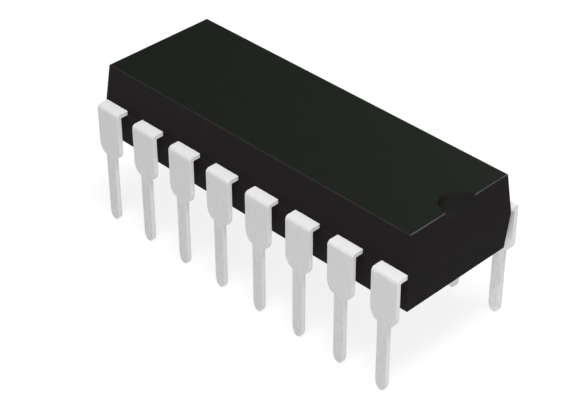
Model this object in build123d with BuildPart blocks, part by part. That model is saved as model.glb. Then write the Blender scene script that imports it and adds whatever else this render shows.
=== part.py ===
from build123d import *
from math import radians, tan
import os

os.makedirs("parts", exist_ok=True)

# A sixteen-lead dual in-line integrated circuit, in millimetres.
# X runs along the body towards its index notch, Y across it, and Z up.
# The origin is at the middle of the lead pattern, on the plane where the leads seat on a board.

# Lead pattern
leads_per_side = 8
pitch = 2.54  # from lead to lead along a row
row_spacing = 7.62  # between the two rows, from the middle of the strip to the middle of the strip

# Leads outside the body
lead_thickness = 0.23
shoulder_width = 1.47
leg_width = 0.6
leg_length = 3.72  # below the seating plane
corner_height = 0.62  # of the shoulder's rounded lower corners, which end on the seating plane
tip_height = 0.5  # of the rounded tip
outer_bend_radius = 0.2
inner_bend_radius = 0.03
side_gap = 0.39  # between the body's parting line and the inside of a leg

# Leads inside the body
shoulder_bite = 0.15  # of the wide shoulder that the moulding takes in
root_width = 0.8
root_depth = 0.5
anchor_notch_depth = 0.15  # the moulding fills both notches, so that the lead can't be pulled out
anchor_notch_length = 0.2
finger_width = 0.36
finger_reach = 0.68  # from the roots to the tips beside the paddle's long edges
tip_run = 0.4  # straight end of each finger, square to the paddle
tip_gap = 0.25  # between the fingers' tips and the paddle
side_tip_spacing = 1.4  # along the paddle's long edges
end_tip_spacing = 0.7  # across the paddle's ends

# Moulded body
standoff = 0.53  # under the body, above the seating plane
lower_height = 1.97  # up to the parting line, which runs round the middle of the strip
upper_height = 2.03
upper_draft = 5.6  # how far the walls lean in, in degrees
lower_draft = 3.8
end_wall = 0.08  # beyond the end leads' shoulders, at the parting line
edge_radius = 0.08  # round the top and the underside
notch_radius = 0.95
notch_depth = 0.4
pin_mark_radius = 0.75  # the round marks that ejector pins leave on the underside
pin_mark_depth = 0.05
pin_mark_spacing = 10.16

# Die paddle
paddle_length = 4.6
paddle_downset = 0.2  # below the rest of the frame
tie_bar_width = 0.4
tie_bar_gap = 0.25  # between a tie bar and the nearest fingers
tie_bar_slope = 0.4  # length of the step from the frame down to the paddle
tie_bar_cover = 0.2  # moulding over a tie bar's cut end

# Die and its wires
attach_thickness = 0.03
attach_margin = 0.1  # squeezed out round the die
die_length = 2.2
die_width = 1.8
die_thickness = 0.3
pad_inset = 0.1  # from the die's edge to the middle of a bonding pad
side_pad_spacing = 0.5
end_pad_spacing = 0.4
wire_diameter = 0.033
wire_sides = 12  # round enough for so thin a wire
loop_height = 0.2  # of the wire above the die
bond_inset = 0.2  # from a finger's tip to the end of its wire
bond_overrun = 0.15  # of the wire's straight run, trimmed off where it meets the finger

# Heights and widths that follow
parting_height = standoff + lower_height
body_top = parting_height + upper_height
frame_top = parting_height + lead_thickness / 2
frame_bottom = frame_top - lead_thickness
paddle_top = frame_top - paddle_downset
attach_top = paddle_top + attach_thickness
die_top = attach_top + die_thickness
body_width = row_spacing - lead_thickness - 2 * side_gap
body_length = (leads_per_side - 1) * pitch + shoulder_width + 2 * end_wall
top_length = body_length - 2 * upper_height * tan(radians(upper_draft))
leg_outside = row_spacing / 2 + lead_thickness / 2
leg_inside = leg_outside - lead_thickness
shoulder_start = body_width / 2 - shoulder_bite
root_middle = shoulder_start - root_depth / 2
root_end = shoulder_start - root_depth
paddle_width = 2 * (root_end - finger_reach - tip_gap)


def finger_route(place):
    """The middle of a lead's finger, from its root to its tip, for the lead's place in its row."""
    towards = 1 if place > 0 else -1
    from_middle = abs(place) / pitch
    from_end = (leads_per_side - 1) / 2 - from_middle
    if from_middle < leads_per_side / 4:
        tip_x = towards * from_middle * side_tip_spacing
        tip_y = paddle_width / 2 + tip_gap
        return [(place, root_end), (tip_x, tip_y + tip_run), (tip_x, tip_y)]
    tip_x = towards * (paddle_length / 2 + tip_gap)
    first_y = tie_bar_width / 2 + tie_bar_gap + finger_width / 2
    tip_y = first_y + from_end * end_tip_spacing
    return [(place, root_end), (tip_x + towards * tip_run, tip_y), (tip_x, tip_y)]


def die_pad(place):
    """The bonding pad on the die for the lead at this place in its row."""
    towards = 1 if place > 0 else -1
    from_middle = abs(place) / pitch
    from_end = (leads_per_side - 1) / 2 - from_middle
    if from_middle < leads_per_side / 4:
        return towards * from_middle * side_pad_spacing, die_width / 2 - pad_inset
    return towards * (die_length / 2 - pad_inset), (from_end + 0.5) * end_pad_spacing


def make_lead(place, side):
    """One stamped strip: its finger inside the body, its shoulder, and its leg, bent down."""
    profile_plane = Plane((place * side, 0, 0), x_dir=(0, side, 0), z_dir=(side, 0, 0))
    front_plane = Plane((place * side, 0, 0), x_dir=(side, 0, 0), z_dir=(0, -side, 0))
    finger_plane = Plane((0, 0, frame_bottom), x_dir=(side, 0, 0), z_dir=(0, 0, 1))
    with BuildPart() as lead:
        with BuildSketch(profile_plane) as profile:
            with BuildLine():
                Polyline(
                    (shoulder_start, frame_top),
                    (leg_outside, frame_top),
                    (leg_outside, -leg_length),
                    (leg_inside, -leg_length),
                    (leg_inside, frame_bottom),
                    (shoulder_start, frame_bottom),
                    close=True,
                )
            make_face()
            inner_corner = profile.vertices().group_by(Axis.X)[1].sort_by(Axis.Y)[-1]
            fillet(inner_corner, inner_bend_radius)
            outer_corner = profile.vertices().group_by(Axis.X)[-1].sort_by(Axis.Y)[-1]
            fillet(outer_corner, outer_bend_radius)
        extrude(amount=shoulder_width / 2, both=True)
        with BuildSketch(front_plane):
            with BuildLine():
                Polyline((0, frame_top), (shoulder_width / 2, frame_top), (shoulder_width / 2, corner_height))
                corner_width = (shoulder_width - leg_width) / 2
                EllipticalCenterArc((leg_width / 2, corner_height), corner_width, corner_height, -90)
                Line((leg_width / 2, 0), (leg_width / 2, tip_height - leg_length))
                EllipticalCenterArc((0, tip_height - leg_length), leg_width / 2, tip_height, -90)
                mirror(about=Plane.YZ)
            make_face()
        extrude(amount=row_spacing, both=True, mode=Mode.INTERSECT)
        with BuildSketch(finger_plane):
            with Locations((place, root_middle)):
                Rectangle(root_width, root_depth)
                with GridLocations(root_width, 0, 2, 1):
                    Rectangle(2 * anchor_notch_depth, anchor_notch_length, mode=Mode.SUBTRACT)
            with BuildLine():
                Polyline((place, root_middle), *finger_route(place))
            trace(line_width=finger_width)
        extrude(amount=lead_thickness)
    return lead.part


def make_bond_wire(place, side):
    """One gold wire: up from its pad on the die, over, and down to its lead's finger."""
    before_tip, tip = [Vector(x, y) for x, y in finger_route(place)[-2:]]
    bond = tip + (before_tip - tip).normalized() * bond_inset
    pad = Vector(*die_pad(place))
    start = Vector(side * pad.X, side * pad.Y, die_top)
    crown = start + Vector(0, 0, loop_height)
    end = Vector(side * bond.X, side * bond.Y, frame_top)
    past_end = end + (end - crown).normalized() * bond_overrun
    with BuildPart() as wire:
        with BuildLine():
            Polyline(start, crown, past_end)
        with BuildSketch(Plane.XY.offset(die_top)):
            with Locations((start.X, start.Y)):
                RegularPolygon(wire_diameter / 2, wire_sides)
        sweep(transition=Transition.RIGHT)
        split(bisect_by=Plane.XY.offset(frame_top), keep=Keep.TOP)
    return wire.part


# The paddle and its tie bars are one stamping, pressed down below the rest of the frame.
tie_bar_end = body_length / 2 - tie_bar_cover
with BuildPart() as die_paddle:
    with BuildSketch(Plane.XY.offset(paddle_top - lead_thickness)):
        Rectangle(paddle_length, paddle_width)
    extrude(amount=lead_thickness)
    with BuildSketch(Plane.XZ) as tie_bar:
        with BuildLine():
            Polyline(
                (paddle_length / 2 - tie_bar_slope, paddle_top),
                (paddle_length / 2, paddle_top),
                (paddle_length / 2 + tie_bar_slope, frame_top),
                (tie_bar_end, frame_top),
                (tie_bar_end, frame_bottom),
                (paddle_length / 2 + tie_bar_slope, frame_bottom),
                (paddle_length / 2, paddle_top - lead_thickness),
                (paddle_length / 2 - tie_bar_slope, paddle_top - lead_thickness),
                close=True,
            )
        make_face()
        mirror(about=Plane.YZ)
    extrude(amount=tie_bar_width / 2, both=True)
die_paddle.part.label = "die_paddle"

with BuildPart() as die_attach:
    with BuildSketch(Plane.XY.offset(paddle_top)):
        Rectangle(die_length + 2 * attach_margin, die_width + 2 * attach_margin)
    extrude(amount=attach_thickness)
die_attach.part.label = "die_attach"

with BuildPart() as silicon_die:
    with BuildSketch(Plane.XY.offset(attach_top)):
        Rectangle(die_length, die_width)
    extrude(amount=die_thickness)
silicon_die.part.label = "silicon_die"

# Lead 1 stands to the left of the notch, seen from above with the notch at the far end, and the
# numbers run down that side and back up the other.
inside = [die_paddle.part, die_attach.part, silicon_die.part]
for number in range(1, 2 * leads_per_side + 1):
    row, step = divmod(number - 1, leads_per_side)
    side = 1 - 2 * row
    place = ((leads_per_side - 1) / 2 - step) * pitch
    lead = make_lead(place, side)
    lead.label = f"lead_{number:02d}"
    wire = make_bond_wire(place, side)
    wire.label = f"bond_wire_{number:02d}"
    inside += [lead, wire]

# The body is moulded round everything above, so each of those pieces fills its own cavity in it.
# Its walls lean in above and below the parting line, where the two halves of the mould met.
parting_plane = Plane.XY.offset(parting_height)
with BuildPart() as moulded_body:
    for height, angle in ((upper_height, upper_draft), (-lower_height, -lower_draft)):
        with BuildSketch(parting_plane):
            Rectangle(body_length, body_width)
        extrude(amount=height)
        walls = moulded_body.faces().group_by(Axis.Z)[1]
        draft(walls, parting_plane, angle)
    faces_by_height = moulded_body.faces().sort_by(Axis.Z)
    fillet(faces_by_height[0].edges() + faces_by_height[-1].edges(), edge_radius)
    with BuildSketch(Plane.XY.offset(body_top)):
        with Locations((top_length / 2, 0)):
            Circle(notch_radius)
    extrude(amount=-notch_depth, mode=Mode.SUBTRACT)
    with BuildSketch(Plane.XY.offset(standoff)):
        with GridLocations(pin_mark_spacing, 0, 2, 1):
            Circle(pin_mark_radius)
    extrude(amount=pin_mark_depth, mode=Mode.SUBTRACT)
    add(inside, mode=Mode.SUBTRACT)
moulded_body.part.label = "moulded_body"

for piece in [moulded_body.part, *inside]:
    export_step(piece, f"parts/{piece.label}.step")
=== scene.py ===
import bpy
import bmesh
import math
from mathutils import Matrix, Vector


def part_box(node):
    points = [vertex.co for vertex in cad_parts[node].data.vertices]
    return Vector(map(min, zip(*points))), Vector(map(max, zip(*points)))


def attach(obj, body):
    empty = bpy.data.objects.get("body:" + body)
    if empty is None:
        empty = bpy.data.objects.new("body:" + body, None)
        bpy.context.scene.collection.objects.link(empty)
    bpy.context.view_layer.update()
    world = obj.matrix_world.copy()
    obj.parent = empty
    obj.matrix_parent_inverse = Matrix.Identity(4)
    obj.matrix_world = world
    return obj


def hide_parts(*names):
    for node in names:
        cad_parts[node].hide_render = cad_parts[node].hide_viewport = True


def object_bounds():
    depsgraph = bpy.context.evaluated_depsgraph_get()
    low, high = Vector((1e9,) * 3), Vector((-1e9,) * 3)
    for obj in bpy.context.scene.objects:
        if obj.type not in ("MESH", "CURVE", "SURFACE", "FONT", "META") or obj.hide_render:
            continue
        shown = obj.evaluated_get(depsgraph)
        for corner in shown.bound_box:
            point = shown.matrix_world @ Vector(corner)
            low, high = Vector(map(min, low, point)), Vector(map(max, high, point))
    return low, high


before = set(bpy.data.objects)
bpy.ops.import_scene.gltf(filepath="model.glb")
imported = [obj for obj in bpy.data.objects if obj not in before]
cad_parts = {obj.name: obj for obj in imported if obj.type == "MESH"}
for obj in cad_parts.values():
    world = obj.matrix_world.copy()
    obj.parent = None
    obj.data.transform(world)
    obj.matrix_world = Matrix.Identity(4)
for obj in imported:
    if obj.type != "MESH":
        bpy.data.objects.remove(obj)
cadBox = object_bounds()
mm = 0.001
noiseRange = (0.3, 0.7)  # where most of a noise lies
leads = [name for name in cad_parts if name.startswith("lead_")]
wires = [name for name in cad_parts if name.startswith("bond_wire_")]
print("frame loaded,", len(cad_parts), "nodes")


# small helpers for building node materials

def newMaterial(name):
    mat = bpy.data.materials.new(name)
    mat.use_nodes = True
    tree = mat.node_tree
    return mat, tree, tree.nodes["Principled BSDF"]


def put(tree, value, socket):
    # a number, a colour or another node's output
    if isinstance(value, (int, float)):
        socket.default_value = value
    elif isinstance(value, tuple):
        socket.default_value = (*value, 1.0)
    else:
        tree.links.new(value, socket)


def calc(tree, operation, first, second=0.0):
    node = tree.nodes.new("ShaderNodeMath")
    node.operation = operation
    put(tree, first, node.inputs[0])
    put(tree, second, node.inputs[1])
    return node.outputs[0]


def product(tree, first, second):
    return calc(tree, "MULTIPLY", first, second)


def withoutSign(tree, value):
    return calc(tree, "ABSOLUTE", value)


def blend(tree, factor, first, second):
    node = tree.nodes.new("ShaderNodeMix")
    node.data_type = "RGBA"
    for slot, value in ((0, factor), (6, first), (7, second)):
        put(tree, value, node.inputs[slot])
    return node.outputs[2]


def ramp(tree, value, low, high, start=0.0, end=1.0):
    node = tree.nodes.new("ShaderNodeMapRange")
    node.interpolation_type = "SMOOTHSTEP"
    for name, number in (("From Min", low), ("From Max", high), ("To Min", start), ("To Max", end)):
        node.inputs[name].default_value = number
    put(tree, value, node.inputs["Value"])
    return node.outputs["Result"]


def noise(tree, vector, featureSize, detail=3.0):
    node = tree.nodes.new("ShaderNodeTexNoise")
    node.inputs["Scale"].default_value = 1.0 / featureSize
    node.inputs["Detail"].default_value = detail
    tree.links.new(vector, node.inputs["Vector"])
    return node.outputs["Fac"]


def split(tree, vector):
    node = tree.nodes.new("ShaderNodeSeparateXYZ")
    tree.links.new(vector, node.inputs[0])
    return node.outputs


def joined(tree, x, y, z=0.0):
    node = tree.nodes.new("ShaderNodeCombineXYZ")
    for slot, value in enumerate((x, y, z)):
        put(tree, value, node.inputs[slot])
    return node.outputs[0]


def lengthOf(tree, vector):
    node = tree.nodes.new("ShaderNodeVectorMath")
    node.operation = "LENGTH"
    tree.links.new(vector, node.inputs[0])
    return node.outputs["Value"]


def objectPlace(tree):
    return tree.nodes.new("ShaderNodeTexCoord").outputs["Object"]


def faceNormal(tree):
    return tree.nodes.new("ShaderNodeNewGeometry").outputs["Normal"]


def roughen(tree, shader, height, distance, strength=0.5):
    bump = tree.nodes.new("ShaderNodeBump")
    bump.inputs["Strength"].default_value = strength
    bump.inputs["Distance"].default_value = distance
    tree.links.new(height, bump.inputs["Height"])
    tree.links.new(bump.outputs["Normal"], shader.inputs["Normal"])


def dress(name, mat):
    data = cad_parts[name].data
    data.materials.clear()
    data.materials.append(mat)


# moulded body

epoxySettings = {
    # the top, the walls and the ends are coloured by which way they face: painted shade where more light
    # falls, painted light where less does
    "topShadeColour": (0.0054, 0.0080, 0.0050),
    "wallColour": (0.0106, 0.0079, 0.0085),  # along the rows, above the parting line
    "lowerWallLightColour": (0.0156, 0.0117, 0.0125),  # and under it, paler: painted light that lifts the shade between the leads
    # the ends, darker: painted shade against the light from that side
    "endShadeColour": (0.0084, 0.0054, 0.0061),
    # the ends under the parting line, darker still: painted shade against the floor's light
    "lowerEndShadeColour": (0.0038, 0.0022, 0.0025),
    # inside the notch, paler than the top and the walls: painted light that cancels the shade in the
    # recess
    "notchWallLightColour": (0.0205, 0.0195, 0.0180),
    "notchFloorLightColour": (0.0090, 0.0092, 0.0090),
    "dustColour": (0.0125, 0.0130, 0.0120),  # fine filler that shows in the mottling
    "dustRange": (0.35, 0.8),  # of the mottling
    "dustShare": 0.12,
    "endEdgeHighlightColour": (0.060, 0.059, 0.058),  # painted highlight on the top edges across the ends
    "longEdgeHighlightColour": (0.0205, 0.021, 0.0205),  # painted highlight on the top edges along the rows
    "edgeHighlightRange": (0.25, 0.6),  # of the mottling
    "edgeHighlightShare": (0.55, 1.0),
    "roughness": (0.57, 0.63),
    "specular": 0.05,
    "mottleSize": 0.8 * mm,
    "grainSize": 0.05 * mm,  # spark-eroded texture of the mould
    "grainHeight": 0.003 * mm,
    "notchMiddle": 9.506 * mm,  # the notch is round, with its middle on the end of the top
    "notchRadius": 0.95 * mm,
    "notchDepth": 0.4 * mm,
    "notchFade": (0.012 * mm, 0.004 * mm),  # outside its wall, where its colours start and are full
    "floorFade": 0.004 * mm,  # under its floor, where the wall's colour starts
    "sunkFade": (0.02 * mm, 0.04 * mm),  # under the top, where the floor's colour starts and is full
    # parts of a face's normal, up or along the body, between which a look starts and is full
    "levelLift": (0.97, 0.999),  # the top and the underside
    "edgeLift": (0.2, 0.4),  # the painted edge highlight, towards the walls
    "edgeTopLift": (0.93, 0.75),  # the painted edge highlight, towards the top
    "lowerLift": (-0.02, -0.05),  # the walls under the parting line
    "endTurn": (0.6, 0.8),  # the ends
    "endEdgeTurn": (0.15, 0.4),  # the edges across the ends
}


def makeEpoxy():
    s = epoxySettings
    mat, tree, shader = newMaterial("mouldedEpoxy")
    place = objectPlace(tree)
    x, y, z = split(tree, place)
    across = split(tree, faceNormal(tree))
    alongEnds = withoutSign(tree, across[0])
    mottle = noise(tree, place, s["mottleSize"])
    grain = noise(tree, place, s["grainSize"], detail=2.0)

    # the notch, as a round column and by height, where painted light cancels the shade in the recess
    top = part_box("moulded_body")[1].z
    notchFloor = top - s["notchDepth"]
    toMiddle = joined(tree, calc(tree, "SUBTRACT", x, s["notchMiddle"]), y)
    fadeStart, fadeEnd = [s["notchRadius"] + margin for margin in s["notchFade"]]
    inNotch = ramp(tree, lengthOf(tree, toMiddle), fadeStart, fadeEnd)
    aboveFloor = ramp(tree, z, notchFloor - s["floorFade"], notchFloor)
    sunkStart, sunkEnd = [top - depth for depth in s["sunkFade"]]
    sunk = ramp(tree, z, sunkStart, sunkEnd)

    # walls, then level faces; each takes its colour by which way it faces: painted shade and light
    below = ramp(tree, across[2], *s["lowerLift"])
    rows = blend(tree, below, s["wallColour"], s["lowerWallLightColour"])
    ends = blend(tree, below, s["endShadeColour"], s["lowerEndShadeColour"])
    walls = blend(tree, ramp(tree, alongEnds, *s["endTurn"]), rows, ends)
    walls = blend(tree, product(tree, inNotch, aboveFloor), walls, s["notchWallLightColour"])
    flats = blend(tree, product(tree, inNotch, sunk), s["topShadeColour"], s["notchFloorLightColour"])
    level = ramp(tree, withoutSign(tree, across[2]), *s["levelLift"])
    base = blend(tree, level, walls, flats)
    dust = ramp(tree, mottle, *s["dustRange"], 0.0, s["dustShare"])
    mottled = blend(tree, dust, base, s["dustColour"])

    # painted highlight along the top edges, broken up by the mottling
    edge = product(tree, ramp(tree, across[2], *s["edgeLift"]), ramp(tree, across[2], *s["edgeTopLift"]))
    edgeHighlightMask = product(tree, edge, ramp(tree, mottle, *s["edgeHighlightRange"], *s["edgeHighlightShare"]))
    edgeHighlight = blend(tree, ramp(tree, alongEnds, *s["endEdgeTurn"]), s["longEdgeHighlightColour"], s["endEdgeHighlightColour"])
    tree.links.new(blend(tree, edgeHighlightMask, mottled, edgeHighlight), shader.inputs["Base Color"])
    tree.links.new(ramp(tree, mottle, *noiseRange, *s["roughness"]), shader.inputs["Roughness"])
    shader.inputs["Specular IOR Level"].default_value = s["specular"]
    roughen(tree, shader, grain, s["grainHeight"])
    return mat


dress("moulded_body", makeEpoxy())
print("moulded body finished")


# leads: matte tin outside the moulding, bare copper and silvered finger tips inside it

leadSettings = {
    "tinColour": (0.572, 0.572, 0.569),
    "bendShadeColour": (0.530, 0.530, 0.528),  # darker on the bend: painted shade that tones down the light falling on it
    "innerLightColour": (0.760, 0.760, 0.757),  # paler on the side towards the body: painted light that lifts the body's shade
    "cutLightColour": (0.620, 0.620, 0.617),  # the sheared sides, paler: painted light that evens them with the fronts
    "dullColour": (0.400, 0.400, 0.400),  # in the rolling streaks
    "dullShare": (0.15, 0.38),  # on the shoulders and on the legs
    "dullLegs": -0.6 * mm,  # height under which the legs have their whole share
    "tinMetallic": 0.05,
    "tinSpecular": 0.3,
    "roughness": (0.60, 0.72),
    "streakSize": 0.06 * mm,
    "streakStretch": 0.04,  # a streak's width over its length
    "mottleSize": 0.35 * mm,
    "crystalSize": 0.018 * mm,
    "grainHeight": 0.0012 * mm,
    "grainStrength": 0.35,
    "copperColour": (0.80, 0.42, 0.27),
    "copperMetallic": 0.9,
    "silverColour": (0.88, 0.87, 0.84),
    "silverReach": 1.85 * mm,  # how far out the silver goes round the paddle
    "silverStretch": 1.1 * mm,  # how much further out along the body
    "silverFade": 0.05 * mm,
    "wall": 3.2 * mm,  # from the middle plane to where the plating starts
    "wallFade": 0.02 * mm,
    "weldReach": 0.0005 * mm,  # corners nearer than this are joined
    "flatAngle": 1,  # degrees, up to which two faces are one
    "sharpAngle": 35,  # degrees, from which an edge is eased
    "edgeRadius": 0.016 * mm,
    "edgeSteps": 2,
    # parts of a face's normal between which a look starts and is full
    "bendLean": (0.1, 0.35),  # outwards times up, in the bend
    "innerLean": (-0.3, -0.8),  # outwards, on the inner side
    "cutTurn": (0.6, 0.95),  # along the body, on the sheared sides
}


def makeLeadFinish():
    s = leadSettings
    mat, tree, shader = newMaterial("matteTin")
    place = objectPlace(tree)
    x, y, z = split(tree, place)
    across = split(tree, faceNormal(tree))
    side = withoutSign(tree, y)
    run = calc(tree, "SUBTRACT", side, z)  # grows along the strip, round its bend too
    strip = joined(tree, x, product(tree, run, s["streakStretch"]))
    streaks = noise(tree, strip, s["streakSize"], detail=2.0)
    mottle = noise(tree, place, s["mottleSize"])
    crystals = noise(tree, place, s["crystalSize"], detail=1.0)
    shade = product(tree, calc(tree, "ADD", streaks, mottle), 0.5)

    # tin, with painted shade on its bend, painted light on its inner side and its sheared sides, and its
    # streaks
    outward = product(tree, across[1], calc(tree, "SIGN", y))  # one in front, minus one behind
    bent = ramp(tree, product(tree, outward, across[2]), *s["bendLean"])
    tin = blend(tree, bent, s["tinColour"], s["bendShadeColour"])
    tin = blend(tree, ramp(tree, outward, *s["innerLean"]), tin, s["innerLightColour"])
    share = ramp(tree, z, 0.0, s["dullLegs"], *s["dullShare"])
    dull = product(tree, ramp(tree, shade, *noiseRange), share)
    tin = blend(tree, dull, tin, s["dullColour"])
    tin = blend(tree, ramp(tree, withoutSign(tree, across[0]), *s["cutTurn"]), tin, s["cutLightColour"])

    # inside the moulding
    alongPaddle = calc(tree, "SUBTRACT", withoutSign(tree, x), s["silverStretch"])
    nearDie = calc(tree, "MAXIMUM", alongPaddle, side)
    silvered = ramp(tree, nearDie, s["silverReach"] + s["silverFade"], s["silverReach"])
    inner = blend(tree, silvered, s["copperColour"], s["silverColour"])
    outside = ramp(tree, side, s["wall"] - s["wallFade"], s["wall"])
    tree.links.new(blend(tree, outside, inner, tin), shader.inputs["Base Color"])
    metallic = ramp(tree, outside, 0.0, 1.0, s["copperMetallic"], s["tinMetallic"])
    tree.links.new(metallic, shader.inputs["Metallic"])
    tree.links.new(ramp(tree, shade, *noiseRange, *s["roughness"]), shader.inputs["Roughness"])
    shader.inputs["Specular IOR Level"].default_value = s["tinSpecular"]
    roughen(tree, shader, calc(tree, "ADD", crystals, streaks), s["grainHeight"], s["grainStrength"])
    return mat


def weightedNormal(corner):
    # the large faces round a corner count most, so that they look flat beside an eased edge
    return sum((face.normal * face.calc_area() for face in corner.link_faces), Vector()).normalized()


def easedCopy(name):
    # the same shape with its sharp stamped edges eased
    s = leadSettings
    mesh = bmesh.new()
    mesh.from_mesh(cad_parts[name].data)
    bmesh.ops.remove_doubles(mesh, verts=mesh.verts, dist=s["weldReach"])
    flat = math.radians(s["flatAngle"])
    bmesh.ops.dissolve_limit(mesh, angle_limit=flat, verts=mesh.verts, edges=mesh.edges)
    sharp = [edge for edge in mesh.edges if edge.calc_face_angle(0) > math.radians(s["sharpAngle"])]
    bmesh.ops.bevel(mesh, geom=sharp, offset=s["edgeRadius"], segments=s["edgeSteps"], profile=0.5,
                    affect="EDGES", clamp_overlap=True)
    normals = [weightedNormal(corner) for corner in mesh.verts]
    bmesh.ops.triangulate(mesh, faces=mesh.faces)
    data = bpy.data.meshes.new(name + "_eased")
    mesh.to_mesh(data)
    mesh.free()
    data.normals_split_custom_set_from_vertices(normals)
    piece = bpy.data.objects.new(name + "_eased", data)
    bpy.context.scene.collection.objects.link(piece)
    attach(piece, "root")
    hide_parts(name)
    return piece


leadFinish = makeLeadFinish()
for name in leads:
    dress(name, leadFinish)
    easedCopy(name).data.materials.append(leadFinish)
print("leads finished")


# die paddle

paddleSettings = {
    "copperColour": (0.78, 0.41, 0.26),
    "tarnishColour": (0.55, 0.27, 0.17),
    "stainSize": 0.9 * mm,
    "stainRange": (0.4, 0.75),
    "silverColour": (0.86, 0.85, 0.82),
    "silverEdge": 1.6 * mm,  # half the length of the silvered patch
    "silverFade": 0.04 * mm,
    "roughness": (0.3, 0.45),
    "rollSize": 0.05 * mm,  # fine lines left by rolling
    "rollStretch": 0.05,  # a line's width over its length
    "rollHeight": 0.002 * mm,
}


def makePaddleFinish():
    s = paddleSettings
    mat, tree, shader = newMaterial("silveredCopper")
    place = objectPlace(tree)
    x, y = split(tree, place)[:2]
    stain = noise(tree, place, s["stainSize"])
    rolled = noise(tree, joined(tree, product(tree, x, s["rollStretch"]), y), s["rollSize"], detail=2.0)
    copper = blend(tree, ramp(tree, stain, *s["stainRange"]), s["copperColour"], s["tarnishColour"])
    silvered = ramp(tree, withoutSign(tree, x), s["silverEdge"] + s["silverFade"], s["silverEdge"])
    tree.links.new(blend(tree, silvered, copper, s["silverColour"]), shader.inputs["Base Color"])
    shader.inputs["Metallic"].default_value = 1.0
    tree.links.new(ramp(tree, rolled, *noiseRange, *s["roughness"]), shader.inputs["Roughness"])
    roughen(tree, shader, rolled, s["rollHeight"])
    return mat


dress("die_paddle", makePaddleFinish())
print("die paddle finished")


# adhesive under the die

attachSettings = {
    "resinColour": (0.34, 0.33, 0.31),
    "flakeColour": (0.82, 0.81, 0.78),
    "flakeSize": 0.03 * mm,
    "flakeEdge": (0.55, 0.25),  # from a flake's middle, where it starts and is full
    "flakeHeight": 0.004 * mm,
    "metallic": (0.1, 0.9),  # of the resin and of the flakes
    "roughness": 0.42,
}


def makeAttachFinish():
    s = attachSettings
    mat, tree, shader = newMaterial("silverFilledAdhesive")
    place = objectPlace(tree)
    cells = tree.nodes.new("ShaderNodeTexVoronoi")
    cells.inputs["Scale"].default_value = 1.0 / s["flakeSize"]
    tree.links.new(place, cells.inputs["Vector"])
    flakes = ramp(tree, cells.outputs["Distance"], *s["flakeEdge"])
    tree.links.new(blend(tree, flakes, s["resinColour"], s["flakeColour"]), shader.inputs["Base Color"])
    tree.links.new(ramp(tree, flakes, 0.0, 1.0, *s["metallic"]), shader.inputs["Metallic"])
    shader.inputs["Roughness"].default_value = s["roughness"]
    roughen(tree, shader, flakes, s["flakeHeight"])
    return mat


dress("die_attach", makeAttachFinish())
print("adhesive finished")


# silicon die

dieSettings = {
    "siliconColour": (0.045, 0.05, 0.065),
    "oxideColours": ((0.10, 0.14, 0.16), (0.16, 0.12, 0.17)),
    "metalColour": (0.74, 0.73, 0.70),  # the lines between the cells
    "cellSize": 0.085 * mm,
    "cellStretch": 2.3,
    "lineShare": 0.1,  # a line's width over a cell's height
    "borderInset": 0.06 * mm,
    "borderFade": 0.004 * mm,
    "topLift": (0.9, 0.99),  # the upward part of a face's normal, where the top starts and is full
    "metallic": (0.25, 0.9),  # of the cells and of the lines
    "roughness": (0.45, 0.12),  # of the sawn sides and of the top
    "sawSize": 0.02 * mm,
    "sawStretch": 0.05,  # a saw mark's width over its height
    "sawHeight": 0.0008 * mm,
    "sawStrength": 0.3,
}


def makeDieFinish():
    s = dieSettings
    mat, tree, shader = newMaterial("siliconDie")
    place = objectPlace(tree)
    x, y, z = split(tree, place)
    top = ramp(tree, split(tree, faceNormal(tree))[2], *s["topLift"])
    cells = tree.nodes.new("ShaderNodeTexBrick")
    cells.inputs["Scale"].default_value = 1.0
    cells.inputs["Mortar Size"].default_value = s["cellSize"] * s["lineShare"]
    cells.inputs["Brick Width"].default_value = s["cellSize"] * s["cellStretch"]
    cells.inputs["Row Height"].default_value = s["cellSize"]
    put(tree, s["oxideColours"][0], cells.inputs["Color1"])
    put(tree, s["oxideColours"][1], cells.inputs["Color2"])
    put(tree, s["metalColour"], cells.inputs["Mortar"])
    tree.links.new(place, cells.inputs["Vector"])
    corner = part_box("silicon_die")[1]
    fromSide = calc(tree, "SUBTRACT", corner.x, withoutSign(tree, x))
    fromEnd = calc(tree, "SUBTRACT", corner.y, withoutSign(tree, y))
    fromEdge = calc(tree, "MINIMUM", fromSide, fromEnd)
    active = ramp(tree, fromEdge, s["borderInset"], s["borderInset"] + s["borderFade"])
    pattern = blend(tree, active, s["siliconColour"], cells.outputs["Color"])
    tree.links.new(blend(tree, top, s["siliconColour"], pattern), shader.inputs["Base Color"])
    tree.links.new(ramp(tree, top, 0.0, 1.0, *s["roughness"]), shader.inputs["Roughness"])
    tree.links.new(ramp(tree, cells.outputs["Fac"], 0.0, 1.0, *s["metallic"]), shader.inputs["Metallic"])
    sawn = noise(tree, joined(tree, x, y, product(tree, z, s["sawStretch"])), s["sawSize"])
    roughen(tree, shader, sawn, s["sawHeight"], s["sawStrength"])
    return mat


dress("silicon_die", makeDieFinish())
print("silicon die finished")


# bond wires

wireSettings = {
    "goldColour": (0.96, 0.70, 0.27),
    "goldShade": (0.86, 0.58, 0.20),
    "shadeRange": (0.35, 0.65),
    "drawnSize": 0.006 * mm,
    "drawnHeight": 0.0004 * mm,
    "roughness": (0.16, 0.3),
}


def makeWireFinish():
    s = wireSettings
    mat, tree, shader = newMaterial("drawnGold")
    drawn = noise(tree, objectPlace(tree), s["drawnSize"], detail=1.0)
    gold = blend(tree, ramp(tree, drawn, *s["shadeRange"]), s["goldColour"], s["goldShade"])
    tree.links.new(gold, shader.inputs["Base Color"])
    shader.inputs["Metallic"].default_value = 1.0
    tree.links.new(ramp(tree, drawn, *noiseRange, *s["roughness"]), shader.inputs["Roughness"])
    roughen(tree, shader, drawn, s["drawnHeight"])
    return mat


wireFinish = makeWireFinish()
for name in wires:
    dress(name, wireFinish)
print("bond wires finished")


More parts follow.
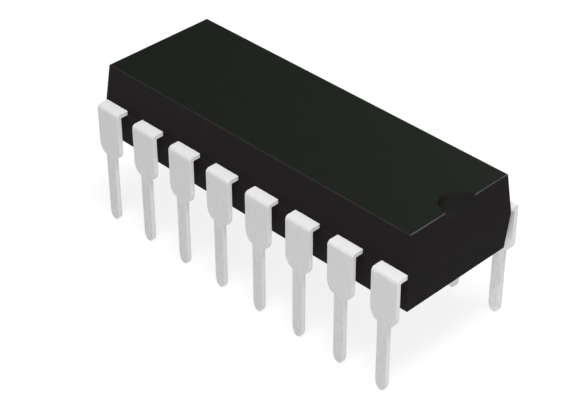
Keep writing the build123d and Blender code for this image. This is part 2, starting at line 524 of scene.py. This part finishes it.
# floor: a pale lit table, which keeps the shadows faint

floorSettings = {
    "size": 1.6,
    "colour": (0.14, 0.14, 0.14),
    "patchSize": 0.03,
    "patchGain": 1.04,  # how much paler the patches are
    "roughness": 0.8,
    "specular": 0.05,
    "glowColour": (1.0, 1.0, 1.0),
    "glow": 0.84,
}


def makeFloor():
    s = floorSettings
    bpy.ops.mesh.primitive_plane_add(size=s["size"], location=(0, 0, cadBox[0].z))
    floor = bpy.context.object
    floor.name = "studioFloor"
    mat, tree, shader = newMaterial("paleFloor")
    patches = noise(tree, objectPlace(tree), s["patchSize"])
    paler = tuple(value * s["patchGain"] for value in s["colour"])
    tree.links.new(blend(tree, patches, s["colour"], paler), shader.inputs["Base Color"])
    shader.inputs["Roughness"].default_value = s["roughness"]
    shader.inputs["Specular IOR Level"].default_value = s["specular"]
    put(tree, s["glowColour"], shader.inputs["Emission Color"])
    shader.inputs["Emission Strength"].default_value = s["glow"]
    clear = tree.nodes.new("ShaderNodeBsdfTransparent")
    mix = tree.nodes.new("ShaderNodeMixShader")  # clear from below
    geometry = tree.nodes.new("ShaderNodeNewGeometry")
    tree.links.new(geometry.outputs["Backfacing"], mix.inputs[0])
    tree.links.new(shader.outputs[0], mix.inputs[1])
    tree.links.new(clear.outputs[0], mix.inputs[2])
    tree.links.new(mix.outputs[0], tree.nodes["Material Output"].inputs["Surface"])
    floor.data.materials.append(mat)


makeFloor()
print("floor laid")


# soft studio light

studioSettings = {
    "worldColour": (1.0, 1.0, 1.0),
    "worldStrength": 0.12,
    "backdropStrength": 0.86,  # what the camera sees past the floor, as pale as the floor's far end
    "keyPlace": (0.038, -0.020, 0.16),  # overhead, a little towards the camera
    "keySize": (0.10, 0.05),
    "keyPower": 0.372,
    "fillPlace": (0.095, -0.092, 0.045),  # from the camera's side
    "fillSize": (0.08, 0.08),
    "fillPower": 0.080,
    "backPlace": (-0.030, 0.130, 0.035),  # keeps the far side clear
    "backSize": (0.10, 0.05),
    "backPower": 0.070,
}


def addSoftbox(name, place, size, power):
    lamp = bpy.data.lights.new(name, "AREA")
    lamp.shape = "RECTANGLE"
    lamp.size, lamp.size_y = size
    lamp.energy = power
    obj = bpy.data.objects.new(name, lamp)
    bpy.context.scene.collection.objects.link(obj)
    obj.location = place
    obj.rotation_euler = (-obj.location).to_track_quat("-Z", "Y").to_euler()  # aimed at the part


def makeStudio():
    s = studioSettings
    world = bpy.data.worlds.new("paleStudio")
    bpy.context.scene.world = world
    world.use_nodes = True
    tree = world.node_tree
    background = tree.nodes["Background"]
    put(tree, s["worldColour"], background.inputs["Color"])
    seen = tree.nodes.new("ShaderNodeLightPath").outputs["Is Camera Ray"]
    strength = ramp(tree, seen, 0.0, 1.0, s["worldStrength"], s["backdropStrength"])
    tree.links.new(strength, background.inputs["Strength"])
    for lamp in ("key", "fill", "back"):
        addSoftbox(lamp + "Softbox", s[lamp + "Place"], s[lamp + "Size"], s[lamp + "Power"])


makeStudio()
print("studio lit")


# camera at the photograph's viewing angle

cameraSettings = {
    "place": (45.2230 * mm, -45.2328 * mm, 45.4860 * mm),
    "lookAt": (1.4400 * mm, -1.8505 * mm, 1.0222 * mm),
    "roll": -0.114,  # degrees, clockwise is negative
    "lens": 104.07,
    "sensor": 36.0,
    "clip": (1 * mm, 10.0),
}


def makeCamera():
    s = cameraSettings
    data = bpy.data.cameras.new("camera")
    data.lens = s["lens"]
    data.sensor_width = s["sensor"]
    data.sensor_fit = "HORIZONTAL"
    data.clip_start, data.clip_end = s["clip"]
    cam = bpy.data.objects.new("camera", data)
    bpy.context.scene.collection.objects.link(cam)
    cam.location = s["place"]
    aim = (Vector(s["lookAt"]) - cam.location).to_track_quat("-Z", "Y").to_matrix()
    cam.rotation_euler = (aim @ Matrix.Rotation(math.radians(s["roll"]), 3, "Z")).to_euler()
    bpy.context.scene.camera = cam


makeCamera()
bpy.context.scene.view_settings.view_transform = "Standard"
print("camera set")
